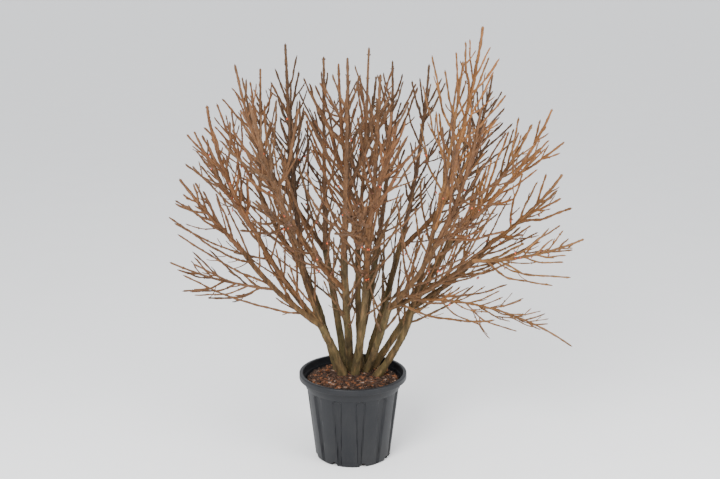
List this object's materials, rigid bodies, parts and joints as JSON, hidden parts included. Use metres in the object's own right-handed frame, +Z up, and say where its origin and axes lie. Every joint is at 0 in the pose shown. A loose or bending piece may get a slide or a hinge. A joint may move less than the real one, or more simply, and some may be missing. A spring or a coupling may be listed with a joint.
{
  "type": "potted burning bush in winter",
  "caption": "Bare deciduous shrub with many upright stems and winged twigs, rooted in bark compost in a round black fluted nursery pot with a rolled lip.",
  "frame": {"origin": "middle of the pot's flat underside", "axes": "+Z up; +X to the right and +Y away from the viewer, as the picture sees the plant"},
  "size_m": [1.583, 1.3089, 1.6807],
  "materials": {
    "pot_plastic": "satin",
    "potting_bark": "matte",
    "stem_bark": "matte",
    "bough_bark": "matte",
    "twigs": "matte"
  },
  "bodies": {
    "root": {"pot": "pot_plastic", "soil": "potting_bark", "left_stem": "stem_bark", "front_stem": "stem_bark", "low_right_stem": "stem_bark", "front_right_stem": "stem_bark", "front_left_stem": "stem_bark", "left_back_stem": "stem_bark", "centre_stem": "stem_bark", "back_left_stem": "stem_bark", "right_stem": "stem_bark", "back_stem": "stem_bark", "back_right_stem": "stem_bark", "left_low_bough": "bough_bark", "left_mid_bough": "bough_bark", "left_up_bough": "bough_bark", "left_back_bough": "bough_bark", "back_left_bough": "bough_bark", "front_left_bough": "bough_bark", "front_bough": "bough_bark", "right_low_bough": "bough_bark", "front_right_bough": "bough_bark", "right_bough": "bough_bark", "right_up_bough": "bough_bark", "back_right_bough": "bough_bark", "back_bough": "bough_bark", "left_low_mass": "twigs", "left_skirt_mass": "twigs", "left_mid_mass": "twigs", "left_outer_mass": "twigs", "left_up_mass": "twigs", "left_back_mass": "twigs", "left_back_up_mass": "twigs", "back_left_up_mass": "twigs", "back_left_low_mass": "twigs", "back_left_mass": "twigs", "back_left_top_mass": "twigs", "front_left_mass": "twigs", "front_left_low_mass": "twigs", "front_left_up_mass": "twigs", "centre_mass": "twigs", "centre_back_mass": "twigs", "front_mass": "twigs", "front_low_mass": "twigs", "front_up_mass": "twigs", "right_low_mass": "twigs", "right_droop_mass": "twigs", "front_right_mass": "twigs", "front_right_low_mass": "twigs", "right_long_mass": "twigs", "right_far_mass": "twigs", "right_outer_mass": "twigs", "right_top_mass": "twigs", "right_up_mass": "twigs", "back_right_low_mass": "twigs", "back_right_far_mass": "twigs", "back_right_mass": "twigs", "back_low_mass": "twigs", "back_mass": "twigs", "back_up_mass": "twigs"}
  },
  "joints": []
}
